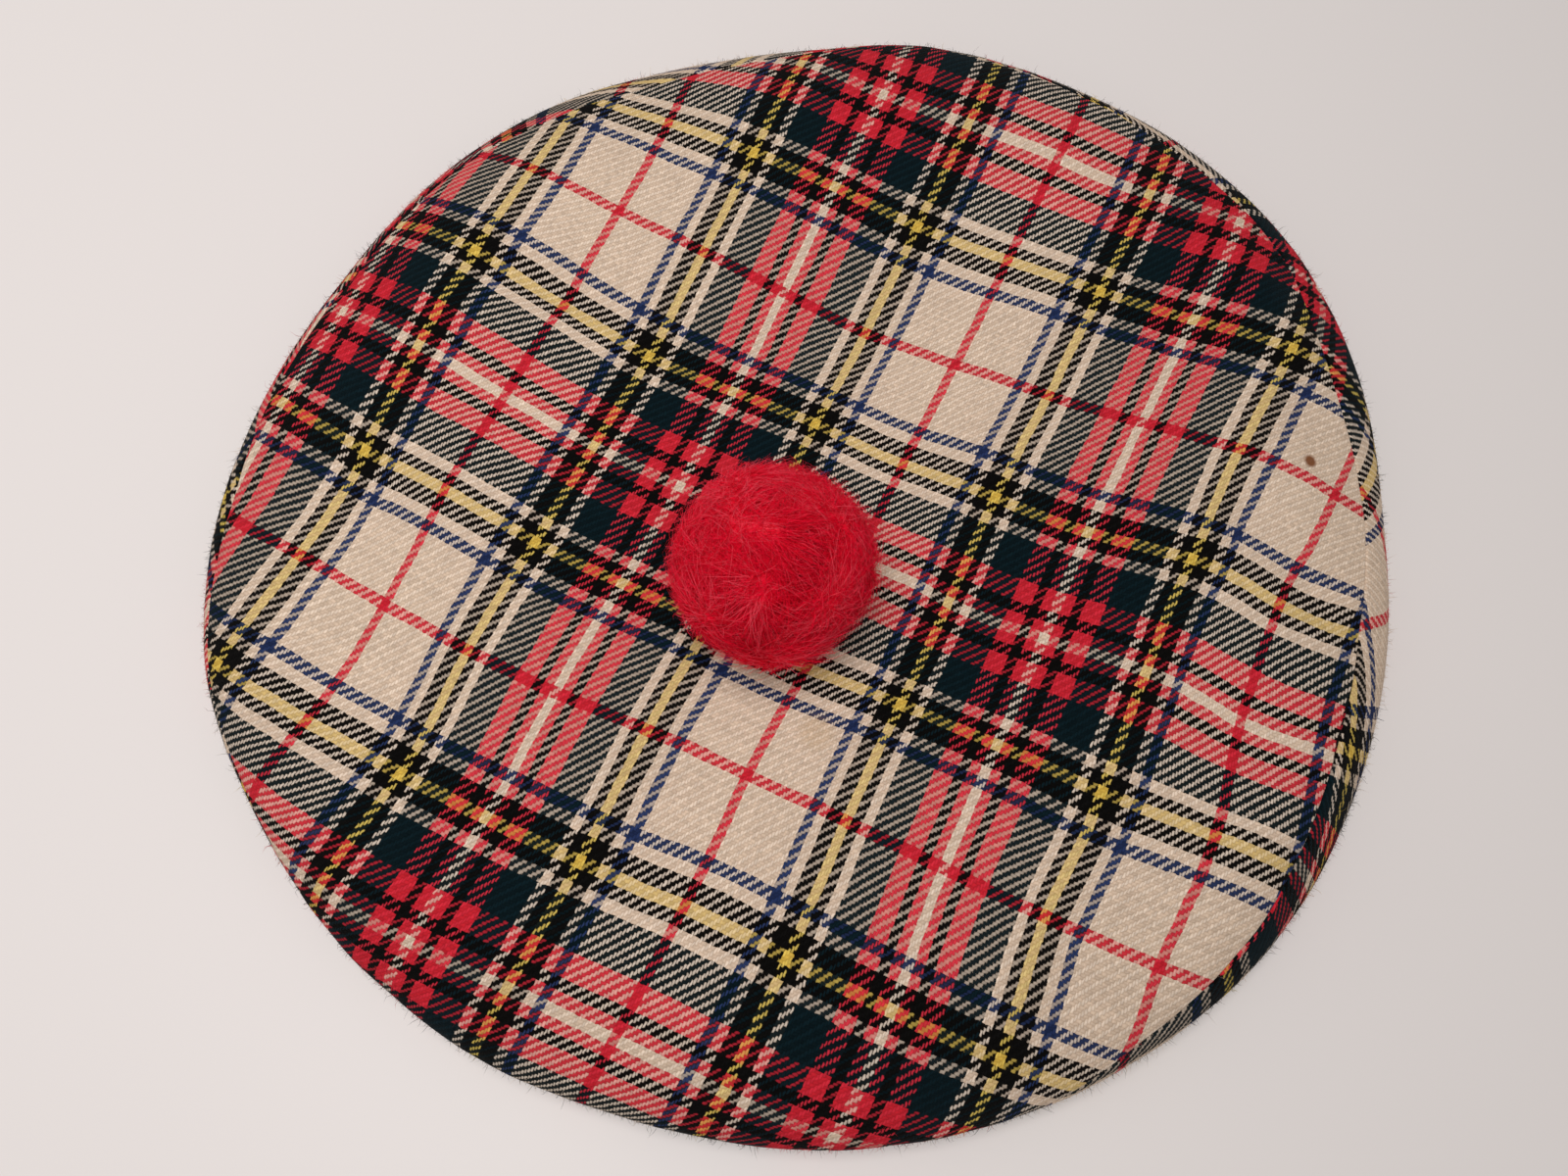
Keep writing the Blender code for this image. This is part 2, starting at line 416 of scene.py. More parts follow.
def rim_value(column, azimuth):
    """A column of RIM at azimuths in degrees, on a smooth closed curve."""
    values = np.array(RIM)[:, RIM_COLUMNS.index(column)]
    place = azimuth % 360.0 / (360.0 / len(RIM))
    row = np.floor(place).astype(int)
    four = [values[(row + step) % len(RIM)] for step in (-1, 0, 1, 2)]
    return between(four, place - row)


def fold_lift(x, y):
    """The height that the folds add at places on the top."""
    total = np.zeros_like(x)
    for row in FOLDS:
        fold = dict(zip(FOLD_COLUMNS, row))
        heading = math.radians(fold["heading"])
        east = x - fold["x"]
        north = y - fold["y"]
        along = east * math.cos(heading) + north * math.sin(heading)
        across = north * math.cos(heading) - east * math.sin(heading)
        spread = (along / fold["half_length"]) ** 2 + (across / fold["half_width"]) ** 2
        total += fold["lift"] * np.exp(-spread)
    return total


class Section:
    """The hat's section along every spoke, measured along the cloth from the middle of the top."""

    def __init__(self):
        azimuth = np.arange(SPOKES) * 360.0 / SPOKES
        self.turn = np.radians(azimuth)
        reach = rim_value("reach", azimuth)
        inner = BAND_RADIUS + CLEARANCE
        rows = [(out * reach, height) for out, height in TOP_SECTION]
        rows += [(inner + out * (reach - inner), height) for out, height in UNDERSIDE_SECTION]
        # The curve comes in level over the middle of the top, and stops at the headband.
        ends = [(-rows[1][0], rows[1][1])] + rows + [rows[-1]]
        radii = []
        heights = []
        for row in range(len(rows) - 1):
            four = ends[row : row + 4]
            for step in range(SECTION_STEPS):
                share = step / SECTION_STEPS
                radii.append(between([end[0] for end in four], share))
                heights.append(between([end[1] for end in four], share) + 0 * reach)
        radii.append(rows[-1][0] + 0 * reach)
        heights.append(rows[-1][1] + 0 * reach)
        self.radii = np.array(radii).T
        self.heights = np.array(heights).T
        steps = np.hypot(np.diff(self.radii, axis=1), np.diff(self.heights, axis=1))
        self.lengths = np.concatenate([np.zeros((SPOKES, 1)), np.cumsum(steps, axis=1)], axis=1)
        self.widest = self.lengths[:, (len(TOP_SECTION) - 1) * SECTION_STEPS]
        self.seam = self.widest - rim_value("seam", azimuth)
        self.end = self.lengths[:, -1]
        self.lift = rim_value("lift", azimuth)

    def at(self, lengths):
        """The outer face's points at lengths of cloth, given as an array of spokes by rings."""
        radii = np.empty_like(lengths)
        heights = np.empty_like(lengths)
        for spoke in range(SPOKES):
            radii[spoke] = np.interp(lengths[spoke], self.lengths[spoke], self.radii[spoke])
            heights[spoke] = np.interp(lengths[spoke], self.lengths[spoke], self.heights[spoke])
        x = radii * np.cos(self.turn)[:, None]
        y = radii * np.sin(self.turn)[:, None]
        beyond = self.widest[:, None] - lengths
        heights += fold_lift(x, y) * smooth(beyond / FOLD_FADE)
        heights += self.lift[:, None] * smooth(1 - abs(beyond) / LIFT_FADE)
        return np.stack([x, y, heights], axis=-1)

    def normals(self, lengths):
        """Unit vectors that point out of the hat at lengths of cloth."""
        outwards = self.at(lengths + NORMAL_REACH) - self.at(np.maximum(lengths - NORMAL_REACH, 0.0))
        points = self.at(np.maximum(lengths, NORMAL_REACH))
        around = np.roll(points, -1, axis=0) - np.roll(points, 1, axis=0)
        normals = np.cross(outwards, around)
        return normals / np.linalg.norm(normals, axis=-1, keepdims=True)


def ring_noise(points, length, seed):
    """Smooth noise from about -1 to 1 at points in millimetres, in waves of about this length."""
    shift = Vector([seed * step for step in NOISE_STEP])
    flat = points.reshape(-1, 3) / length
    values = [noise.noise(Vector(place) + shift) for place in flat]
    return np.array(values).reshape(points.shape[:-1])


def put_in_scene(name, points, faces, made_of):
    """Makes a smooth-shaded object of points in millimetres."""
    mesh = bpy.data.meshes.new(name)
    mesh.from_pydata((points.reshape(-1, 3) * MM).tolist(), [], faces)
    mesh.shade_smooth()
    mesh.materials.append(made_of)
    piece = bpy.data.objects.new(name, mesh)
    bpy.context.scene.collection.objects.link(piece)
    return piece


def give_map(piece, name, places):
    """Gives a piece a UV map from one place for each point."""
    layer = piece.data.uv_layers.new(name=name)
    corners = np.empty(len(piece.data.loops), int)
    piece.data.loops.foreach_get("vertex_index", corners)
    layer.data.foreach_set("uv", places.reshape(-1, 2)[corners].astype(np.float32).ravel())


def wrapped_faces(rings):
    """The quads of a grid of SPOKES by rings that closes on itself round the hat."""
    spoke, ring = np.meshgrid(np.arange(SPOKES), np.arange(rings - 1), indexing="ij")
    beside = (spoke + 1) % SPOKES
    corners = [spoke * rings + ring, spoke * rings + ring + 1]
    corners += [beside * rings + ring + 1, beside * rings + ring]
    return np.stack(corners, axis=-1).reshape(-1, 4).tolist()


def closing_faces(rings):
    """The quads that join the last ring of such a grid to its first."""
    first = np.arange(SPOKES) * rings
    last = first + rings - 1
    return np.stack([last, first, np.roll(first, -1), np.roll(last, -1)], axis=-1).tolist()


def merge_doubles(piece):
    """Merges points that coincide, such as a ring that has shrunk to one."""
    bpy.ops.object.select_all(action="DESELECT")
    piece.select_set(True)
    bpy.context.view_layer.objects.active = piece
    bpy.ops.object.mode_set(mode="EDIT")
    bpy.ops.mesh.select_all(action="SELECT")
    bpy.ops.mesh.remove_doubles(threshold=SAME_PLACE * MM)
    bpy.ops.object.mode_set(mode="OBJECT")


def plate_rise(x, y, places):
    """How high a thin plate that is pushed up at each place stands at x and y, place by place."""
    apart = (x[..., None] - places[:, 0]) ** 2 + (y[..., None] - places[:, 1]) ** 2
    return apart * np.log(apart + TINY)


def top_places(x, y):
    """Where places on the disc of the top lie on the flat cloth: two thin plates bent to CROSSINGS."""
    table = np.array(CROSSINGS)
    threads = table[:, [CROSSING_COLUMNS.index("warp"), CROSSING_COLUMNS.index("weft")]]
    places = table[:, [CROSSING_COLUMNS.index("x"), CROSSING_COLUMNS.index("y")]]
    level = np.column_stack([np.ones(len(places)), places])
    give = CROSSING_GIVE * np.eye(len(places))
    bending = plate_rise(places[:, 0], places[:, 1], places) + give
    system = np.block([[bending, level], [level.T, np.zeros((3, 3))]])
    wanted = np.concatenate([threads * (WARP_PITCH, WEFT_PITCH), np.zeros((3, 2))])
    shares = np.linalg.solve(system, wanted)
    bent = plate_rise(x, y, places) @ shares[:-3]
    return bent + shares[-3] + x[..., None] * shares[-2] + y[..., None] * shares[-1]


def underside_places(x, y):
    """Where places on the disc of the underside lie on the flat cloth."""
    heading = math.radians(UNDERSIDE_GRAIN)
    across_warp = x * math.cos(heading) + y * math.sin(heading) - UNDERSIDE_MIDDLE[0]
    across_weft = x * math.sin(heading) - y * math.cos(heading) - UNDERSIDE_MIDDLE[1]
    return np.stack([across_warp, across_weft], axis=-1)


def crown_sheet(name, section, rings, edges, middle_closed, flat_lengths, cloth_at, made_of):
    """A closed sheet that follows the section.

    rings are lengths of cloth, spokes by rings, and edges are how far each ring lies from the seam.
    flat_lengths are the rings' distances from the middle of the flat disc, and cloth_at gives the cloth's
    own coordinates at places on that disc.
    """
    base = section.at(rings)
    outwards = section.normals(rings)
    near = np.exp(-((edges / PUCKER_REACH) ** 2))
    drawn = PUCKER * near * ring_noise(base * PUCKER_SQUASH, PUCKER_LENGTH, PUCKER_SEED)
    wavy = WAVE * (1 - near) * ring_noise(base, WAVE_LENGTH, WAVE_SEED)
    if middle_closed:
        wavy *= smooth(rings / WAVE_LENGTH)
    turn_in = np.clip(1 - (edges - SEAM_GAP / 2) / SEAM_ROUND, 0.0, 1.0)
    dip = SEAM_ROUND * (1 - np.sqrt(1 - turn_in**2))
    outer = base + outwards * (drawn + wavy - dip)[..., None]
    inner = base + outwards * (drawn + wavy - CLOTH)[..., None]
    if middle_closed:
        outer[:, 0] = outer[:, 0].mean(axis=0)
        inner[:, 0] = inner[:, 0].mean(axis=0)
    points = np.concatenate([outer, inner[:, ::-1]], axis=1)
    count = points.shape[1]
    faces = wrapped_faces(count)
    if not middle_closed:
        faces += closing_faces(count)
    piece = put_in_scene(name, points, faces, made_of)
    lengths = np.concatenate([flat_lengths, flat_lengths[:, ::-1]], axis=1)
    x = lengths * np.cos(section.turn)[:, None]
    y = lengths * np.sin(section.turn)[:, None]
    give_map(piece, "cloth", cloth_at(x, y))
    give_map(piece, "OFBake", 0.5 + DISC_SHARE * np.stack([x, y], axis=-1) / lengths.max())
    merge_doubles(piece)
    return piece


def seam_edges():
    """Distances from the seam of the rings whose edge turns in, from the widest to the seam."""
    turns = np.linspace(0, math.pi / 2, SEAM_TURN_STEPS + 1)
    return SEAM_GAP / 2 + SEAM_ROUND * (1 - np.sin(turns))


def make_top(section, wool):
    """The round top, from its middle to the seam."""
    turned = seam_edges()
    share = np.linspace(0, 1, TOP_RINGS)[:-1]
    flat_part = (section.seam - turned[0])[:, None] * (1 - (1 - share) ** TOP_CROWDING)
    turned_part = section.seam[:, None] - turned
    rings = np.concatenate([flat_part, turned_part], axis=1)
    edges = section.seam[:, None] - rings
    return crown_sheet("crown_cloth", section, rings, edges, True, rings, top_places, wool)


def make_underside(section, wool):
    """The ring of cloth below the rim, from the seam in to the headband."""
    turned = seam_edges()[::-1]
    share = np.linspace(0, 1, UNDERSIDE_RINGS)[1:]
    start = section.seam + turned[-1]
    flat_part = start[:, None] + (section.end - start)[:, None] * share**UNDERSIDE_CROWDING
    turned_part = section.seam[:, None] + turned
    rings = np.concatenate([turned_part, flat_part], axis=1)
    edges = rings - section.seam[:, None]
    # The ring was cut from a disc as large as the top, so its cloth counts back from the seam.
    flat_lengths = section.seam[:, None] - edges
    return crown_sheet(
        "underside_cloth", section, rings, edges, False, flat_lengths, underside_places, wool,
    )


def spikes(roots, bends, tips, thick, stations, tapers):
    """Closed three-sided spikes along curves from roots to tips.

    It gives the points, as an array of spikes by points, and the faces of one spike.
    """
    rings = []
    for station, taper in zip(stations, tapers):
        back = 1 - station
        middle = back**2 * roots + 2 * back * station * bends + station**2 * tips
        onward = unit(back * (bends - roots) + station * (tips - bends))
        side = unit(np.cross(onward, roots + OFF_LINE))
        other = np.cross(onward, side)
        for corner in range(3):
            turned = math.tau * corner / 3
            edge = side * math.cos(turned) + other * math.sin(turned)
            rings.append(middle + edge * (thick * taper)[:, None])
    rings.append(tips)
    last = 3 * len(stations)
    pattern = [(0, 2, 1)]
    for ring in range(0, last - 3, 3):
        for corner in range(3):
            after = (corner + 1) % 3
            pattern.append((ring + corner, ring + after, ring + 3 + after, ring + 3 + corner))
    pattern += [(last - 3, last - 2, last), (last - 2, last - 1, last), (last - 1, last - 3, last)]
    return np.stack(rings, axis=1), pattern


def press_on(points, floor):
    """Keeps spikes above a flat face, with the points of each at heights of their own."""
    points[..., 2] = np.maximum(points[..., 2], floor + PRESSED_STEP * np.arange(points.shape[1]))


def repeated(pattern, points):
    """The faces of every spike in an array of spikes by points."""
    first = np.arange(len(points)) * points.shape[1]
    return [tuple(start + corner for corner in face) for start in first.tolist() for face in pattern]


def make_nap(section, wool):
    """Short loose hairs of the brushed cloth round the rim, each in the colour of its yarn."""
    rng = np.random.default_rng(NAP_SEED)
    size = (SPOKES, NAP_ON_SPOKE)
    lengths = section.widest[:, None] + rng.normal(0.0, NAP_SPREAD, size)
    between_spokes = rng.random(size)
    here = section.at(lengths)
    beyond = np.roll(section.at(np.roll(lengths, 1, axis=0)), -1, axis=0)
    skin = (here + (beyond - here) * between_spokes[..., None]).reshape(-1, 3)
    outwards = section.normals(lengths).reshape(-1, 3)
    count = len(skin)
    rise = NAP_LONGEST * rng.uniform(*NAP_SHARE, (count, 1)) ** NAP_SHORTNESS
    roots = skin - NAP_ROOT * outwards
    bends = skin + rise * (NAP_BEND[0] * outwards + NAP_BEND[1] * rng.normal(size=(count, 3)))
    tips = skin + rise * (NAP_TIP[0] * outwards + NAP_TIP[1] * rng.normal(size=(count, 3)))
    thick = NAP_RADIUS * rng.uniform(*NAP_THICKNESS, count)
    points, pattern = spikes(roots, bends, tips, thick, NAP_STATIONS, NAP_TAPER)
    press_on(points, NAP_FLOOR)
    piece = put_in_scene("rim_nap", points, repeated(pattern, points), wool)
    seam = section.seam[:, None]
    on_top = lengths < seam
    flat = np.where(on_top, lengths, 2 * seam - lengths)
    turn = section.turn[:, None] + between_spokes * math.tau / SPOKES
    x = flat * np.cos(turn)
    y = flat * np.sin(turn)
    places = np.where(on_top[..., None], top_places(x, y), underside_places(x, y)).reshape(-1, 1, 2)
    give_map(piece, "cloth", np.repeat(places, points.shape[1], axis=1))
    corner = np.arange(points.shape[1])
    patch = np.stack([PATCH_STEPS[0] * (corner // 3), PATCH_STEPS[1] * (corner % 3)], axis=-1)[None]
    disc = np.stack([lengths * np.cos(turn), lengths * np.sin(turn)], axis=-1).reshape(-1, 1, 2)
    give_map(piece, "OFBake", 0.5 + DISC_SHARE * (disc + patch) / (lengths.max() + PATCH_MARGIN))
    return piece


def make_headband(section, tape):
    """The upright band round the head opening, as a tape folded at its lower edge."""
    height = np.linspace(1, 0, BAND_ROWS)
    fold = np.linspace(0, math.pi, BAND_FOLD_STEPS + 1)[1:-1]
    half = BAND_WALL / 2
    out = np.concatenate([0 * height, half * (np.cos(fold) - 1), 0 * height - BAND_WALL])
    straight = half + height * (BAND_HEIGHT - half)
    up = np.concatenate([straight, half * (1 - np.sin(fold)), straight[::-1]])
    turn = section.turn[:, None]
    upright = up + 0 * turn
    ways = np.stack([np.cos(turn) + 0 * up, np.sin(turn) + 0 * up, upright / BAND_RADIUS], axis=-1)
    waves = ring_noise(ways * BAND_RADIUS, BAND_WAVE_LENGTH, BAND_WAVE_SEED)
    radius = BAND_RADIUS - BAND_WAVE + out + BAND_WAVE * waves
    points = np.stack([radius * np.cos(turn), radius * np.sin(turn), upright], axis=-1)
    faces = wrapped_faces(len(up)) + closing_faces(len(up))
    piece = put_in_scene("headband_tape", points, faces, tape)
    give_map(piece, "cloth", np.stack([BAND_RADIUS * turn + 0 * up, upright], axis=-1))
    return piece


def lumps(ways):
    """How far the pompom swells or sinks in each direction, as a share of its radius."""
    return LUMP * ring_noise(ways * POMPOM_RADIUS, LUMP_LENGTH, LUMP_SEED)


def make_pompom_heart(wool):
    """The pompom's dense middle, which shows between the fibres."""
    bpy.ops.object.select_all(action="DESELECT")
    bpy.ops.mesh.primitive_ico_sphere_add(subdivisions=6, radius=POMPOM_HEART * MM)
    piece = bpy.context.object
    piece.name = "pompom_heart"
    places = np.empty(len(piece.data.vertices) * 3)
    piece.data.vertices.foreach_get("co", places)
    ways = unit(places.reshape(-1, 3))
    swell = lumps(ways)
    rough = HEART_ROUGH * ring_noise(ways * POMPOM_RADIUS, HEART_GRAIN, HEART_SEED)
    skin = POMPOM_HEART * (1 + swell + rough)
    points = ways * skin[:, None] * POMPOM_SQUASH + POMPOM_MIDDLE
    points[:, 2] = np.maximum(points[:, 2], POMPOM_FLOOR + HEART_CLEAR)
    piece.data.vertices.foreach_set("co", (points * MM).ravel())
    piece.data.shade_smooth()
    piece.data.materials.append(wool)
    # Painted shade: the heart is darker in the hollows between the lumps and in the dips of its grain, and
    # lighter on the swells.
    tint_and_shade = HEART_TINT + HEART_LUMP_SHADE * swell + HEART_GRAIN_SHADE * rough
    give_map(piece, "fibre", np.stack([0 * tint_and_shade, tint_and_shade], axis=-1))
    return piece


def swirl(ways, centres, turns):
    """The way that fibres lean at each direction: round some centres one way, round others the other."""
    lean = np.zeros_like(ways)
    for centre, turn in zip(centres, turns):
        apart = ((ways - centre) ** 2).sum(axis=1, keepdims=True)
        lean += turn * np.cross(centre, ways) * np.exp(-apart / SWIRL_REACH**2) / SWIRL_REACH
    return lean


def make_fibres(coat, wool):
    """One coat of the pompom's fibres, each a thin closed spike that bends over."""
    shared = np.random.default_rng(POMPOM_SEED)
    centres = unit(shared.normal(size=(SWIRLS, 3)))
    turns = shared.choice([-1.0, 1.0], SWIRLS)
    clumps = unit(shared.normal(size=(CLUMPS, 3)))
    clump_tints = shared.uniform(*CLUMP_TINT, CLUMPS)
    rng = np.random.default_rng(POMPOM_SEED + 1 + coat)
    ways = unit(rng.normal(size=(FIBRES_IN_COAT, 3)))
    nearest = (ways @ clumps.T).argmax(axis=1)
    pull = clumps[nearest] - ways
    stray = rng.normal(size=ways.shape)
    lean = SWIRL_LEAN * swirl(ways, centres, turns) + CLUMP_LEAN * pull + STRAY_LEAN * stray
    lean -= (lean * ways).sum(axis=1, keepdims=True) * ways
    swell = lumps(ways)
    skin = POMPOM_HEART * (1 + swell)
    reach = skin + rng.uniform(*FIBRE_RISE, FIBRES_IN_COAT)
    loose = rng.random(FIBRES_IN_COAT) < LOOSE_SHARE
    reach = reach + loose * rng.uniform(*LOOSE_RISE, FIBRES_IN_COAT)
    tips = unit(ways + lean * rng.uniform(*TIP_LEAN, (FIBRES_IN_COAT, 1))) * reach[:, None]
    bent = unit(ways + BEND_LEAN * lean + BEND_STRAY * rng.normal(size=ways.shape))
    bends = bent * (reach - FIBRE_SAG)[:, None]
    roots = ways * (skin - FIBRE_ROOT)[:, None]
    thick = FIBRE_RADIUS * rng.uniform(*FIBRE_THICKNESS, FIBRES_IN_COAT)
    points, pattern = spikes(roots, bends, tips, thick, FIBRE_STATIONS, FIBRE_TAPER)
    points = points * POMPOM_SQUASH + POMPOM_MIDDLE
    press_on(points, POMPOM_FLOOR)
    piece = put_in_scene(f"pompom_fibres_{coat + 1}", points, repeated(pattern, points), wool)
    along = np.append(np.repeat(FIBRE_STATIONS, 3), 1.0)
    own = rng.uniform(*FIBRE_TINT, FIBRES_IN_COAT)
    # Besides the tint of its clump and its own, a fibre gets painted shade in the hollows between the
    # lumps and painted light on the swells.
    tint_and_shade = np.clip(clump_tints[nearest] + own + LUMP_SHADE * swell, 0, 1)
    give_map(piece, "fibre", np.stack(np.broadcast_arrays(along[None, :], tint_and_shade[:, None]), axis=-1))
    return piece


def linear(colour):
    """A colour for a shader, from sRGB hex digits."""
    parts = [int(colour[place : place + 2], 16) / 255 for place in (0, 2, 4)]
    return [c / 12.92 if c <= 0.04045 else ((c + 0.055) / 1.055) ** 2.4 for c in parts] + [1.0]


def in_use(node):
    """The first output of a node that its settings leave in use."""
    return next(output for output in node.outputs if output.enabled)


def add(tree, kind, inputs, **settings):
    """Adds a node with its settings. Each input, by number or name, gets a value or another node."""
    made = tree.nodes.new("ShaderNode" + kind)
    for name, value in settings.items():
        setattr(made, name, value)
    for place, value in inputs.items():
        named = [socket for socket in made.inputs if socket.enabled and socket.name == place]
        socket = made.inputs[place] if isinstance(place, int) else named[0]
        if isinstance(value, bpy.types.Node):
            value = in_use(value)
        if isinstance(value, bpy.types.NodeSocket):
            tree.links.new(value, socket)
        else:
            socket.default_value = value
    return made


def new_material(name, roughness, sheen):
    """A material with a Principled shader for fibres: matt, with the soft glow of their loose ends.

    The fibres of wool and cotton both have an IOR of about 1.55.
    """
    made = bpy.data.materials.new(name)
    made.use_nodes = True
    shader = made.node_tree.nodes["Principled BSDF"]
    shader.inputs["IOR"].default_value = 1.55
    shader.inputs["Roughness"].default_value = roughness
    shader.inputs["Specular IOR Level"].default_value = 0.1
    shader.inputs["Sheen Weight"].default_value = sheen
    shader.inputs["Sheen Roughness"].default_value = 0.5
    return made, made.node_tree, shader


def wandering(tree, cloth):
    """Places on the cloth, moved as its yarns wander. The mean of the noises is taken off first."""
    mean = sum(wander[0] for wander in WANDERS) / 2
    place = add(tree, "VectorMath", {0: cloth, 1: (mean, mean, 0.0)}, operation="SUBTRACT")
    for reach, length, detail in WANDERS:
        waves = add(
            tree, "TexNoise", {"Vector": cloth, "Scale": 1 / length, "Detail": detail},
            noise_dimensions="2D",
        )
        place = add(
            tree, "VectorMath", {0: waves.outputs["Color"], 1: (reach, reach, 0.0), 2: place},
            operation="MULTIPLY_ADD",
        )
    return place


def dye_of(tree, number):
    """The colour of the yarn with this number, from the sett, which is mirrored at both of its ends."""
    middle = add(tree, "Math", {0: number, 1: 0.5}, operation="ADD")
    counted = add(tree, "Math", {0: middle, 1: float(HALF_SETT)}, operation="PINGPONG")
    share = add(tree, "Math", {0: counted, 1: float(HALF_SETT)}, operation="DIVIDE")
    dye = add(tree, "ValToRGB", {"Fac": share})
    dye.color_ramp.interpolation = "CONSTANT"
    stripes = dye.color_ramp.elements
    while len(stripes) < len(SETT):
        stripes.new(0.5)
    for stripe, (thread, yarn) in zip(stripes, SETT):
        stripe.position = thread / HALF_SETT
        stripe.color = linear(YARN[yarn])
    return dye


def lit_by(tree, dye, other):
    """A dye with the light that the other yarn throws on it.

    A pale yarn warms the green and black ones, which have next to no blue of their own.
    """
    own = add(tree, "SeparateColor", {0: dye})
    thrown = add(tree, "SeparateColor", {0: other})
    dull = add(tree, "Math", {0: own.outputs["Blue"], 1: DULL_BLUE}, operation="LESS_THAN")
    faint = add(tree, "Math", {0: dull, 1: WARMTH}, operation="MULTIPLY")
    warmth = add(tree, "Math", {0: thrown.outputs["Green"], 1: faint}, operation="MULTIPLY")
    return add(tree, "Mix", {"Factor": warmth, "A": dye, "B": other}, data_type="RGBA", blend_type="COLOR")


def bead_rise(tree, turn, onward, across):
    """The rise of a float, a rounded bead: highest in its middle, low where it dips under."""
    along = add(tree, "Math", {0: turn, 1: onward}, operation="ADD")
    halved = add(tree, "Math", {0: along, 1: 0.5}, operation="MULTIPLY")
    rises = []
    for part in (add(tree, "Math", {0: halved}, operation="FRACT"), across):
        angle = add(tree, "Math", {0: part, 1: math.pi}, operation="MULTIPLY")
        rises.append(add(tree, "Math", {0: angle}, operation="SINE"))
    blunt = add(tree, "Math", {0: rises[0], 1: BLUNT_ENDS}, operation="POWER")
    return add(tree, "Math", {0: blunt, 1: rises[1]}, operation="MULTIPLY")


def wale_rise(tree, threads):
    """The slanting wales that the beads form: 1 on the middle of the warp's, -1 on the weft's."""
    slant = add(tree, "SeparateXYZ", {0: threads})
    counts = add(tree, "Math", {0: slant.outputs["X"], 1: slant.outputs["Y"]}, operation="ADD")
    angle = add(tree, "Math", {0: counts, 1: math.tau / 4, 2: -math.pi / 4}, operation="MULTIPLY_ADD")
    return add(tree, "Math", {0: angle}, operation="SINE")


def woven_colour(tree, warp_shows, dyes, rope):
    """The colour of the yarn on top, of what shows beside it and of the light from the yarn below."""
    warp_lit, weft_lit = lit_by(tree, *dyes), lit_by(tree, *reversed(dyes))
    upper = add(tree, "Mix", {"Factor": warp_shows, "A": weft_lit, "B": warp_lit}, data_type="RGBA")
    lower = add(tree, "Mix", {"Factor": warp_shows, "A": dyes[0], "B": dyes[1]}, data_type="RGBA")
    darker = add(
        tree, "Mix", {"Factor": 1.0, "A": weft_lit, "B": warp_lit}, data_type="RGBA", blend_type="DARKEN",
    )
    over = add(tree, "SeparateColor", {0: upper})
    under = add(tree, "SeparateColor", {0: lower})
    # A bright yarn below tints a pale one above: painted light that comes up through the pale yarn.
    bright = add(tree, "Math", {0: under.outputs["Red"], 1: TINGE}, operation="MULTIPLY")
    shine = add(tree, "Math", {0: over.outputs["Green"], 1: bright}, operation="MULTIPLY")
    tinged = add(
        tree, "Mix", {"Factor": shine, "A": upper, "B": lower}, data_type="RGBA", blend_type="COLOR",
    )
    # Between the beads the darker of the two yarns shows, most beside the red and dark ones, which are
    # spun finer than the pale ones.
    girth = add(
        tree, "Math", {0: over.outputs["Green"], 1: PALE_GIRTH, 2: THINNED}, operation="MULTIPLY_ADD",
    )
    slim = add(tree, "Math", {0: girth, 1: rope}, operation="ADD")
    depth = add(tree, "SeparateColor", {0: darker})
    risen = add(tree, "Math", {0: depth.outputs["Red"], 1: RED_GIRTH, 2: slim}, operation="MULTIPLY_ADD")
    bare = add(tree, "MapRange", {"Value": risen, "From Min": BARE[0], "From Max": BARE[1]})
    faced = add(tree, "Mix", {"Factor": bare, "A": darker, "B": tinged}, data_type="RGBA")
    # Much of the light bounces off the yarn below too, most in the weft, which lies deeper.
    bounce = add(
        tree, "Math", {0: warp_shows, 1: WARP_BOUNCE - WEFT_BOUNCE, 2: WEFT_BOUNCE},
        operation="MULTIPLY_ADD",
    )
    return add(
        tree, "Mix", {"Factor": bounce, "A": faced, "B": lower}, data_type="RGBA", blend_type="MULTIPLY",
    )


def haired(tree, cloth, colour):
    """A colour under short loose hairs, which make every yarn a little uneven and grey the darkest. The
    grey specks are also painted sheen on the floats.
    """
    hair = add(
        tree, "TexNoise", {"Vector": cloth, "Scale": 1 / HAIR_LENGTH, "Detail": 3.0, "Roughness": 0.7},
        noise_dimensions="2D",
    )
    span = {"From Min": HAIR_SPAN[0], "From Max": HAIR_SPAN[1], "To Max": HAIR_AND_SHEEN_SHARE}
    hair_and_sheen = add(tree, "MapRange", {"Value": hair, **span})
    return add(tree, "Mix", {"Factor": hair_and_sheen, "A": colour, "B": linear("B9B6B0")}, data_type="RGBA")


def shaded(tree, colour, rise):
    """A colour that darkens a little towards the valleys of the weave."""
    shade = add(tree, "ValToRGB", {"Fac": add(tree, "MapRange", {"Value": rise, "From Max": SHADE_TOP})})
    shade.color_ramp.elements[0].color = linear("D0C4B8")
    shade.color_ramp.elements[1].color = linear("FFFFFF")
    return add(
        tree, "Mix", {"Factor": 1.0, "A": colour, "B": shade}, data_type="RGBA", blend_type="MULTIPLY",
    )


